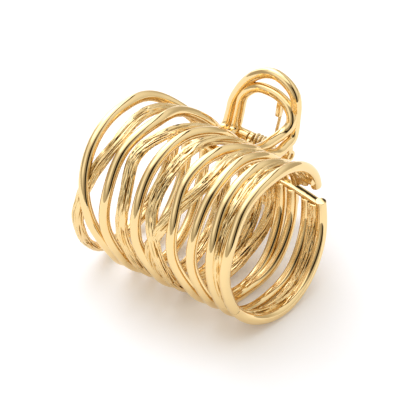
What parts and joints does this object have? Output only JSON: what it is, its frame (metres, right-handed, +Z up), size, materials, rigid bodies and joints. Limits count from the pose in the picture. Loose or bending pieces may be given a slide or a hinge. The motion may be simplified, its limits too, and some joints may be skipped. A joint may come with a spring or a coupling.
{
  "type": "spiral hair clip",
  "caption": "Claw clip of crossing polished and bark-textured metal wires that close into a barrel, sprung open by two looped handles.",
  "frame": {"origin": "middle of the bounding box, on the surface that the clip lies on", "axes": "+X along the closed barrel's axis, +Y towards the hinge and handles, +Z up"},
  "size_m": [0.0618, 0.0661, 0.0506],
  "materials": {
    "polished_gold": "polished gold plate over cast metal, with bark-textured strands",
    "pin_metal": "gold-plated steel pin",
    "spring_wire": "gold-plated spring wire"
  },
  "bodies": {
    "lower": {"lower_jaw": "polished_gold", "hinge_pin": "pin_metal", "spring": "spring_wire"},
    "upper": {"upper_jaw": "polished_gold"}
  },
  "joints": [
    {"name": "jaw hinge", "type": "hinge", "parent": "lower", "child": "upper", "pos_m": [0, 0.027, 0.025], "axis": [-1, 0, 0], "range_deg": [0, 55], "stiffness_Nm_per_rad": 0.15, "springref_deg": -34.38, "deforming": ["spring"]}
  ]
}
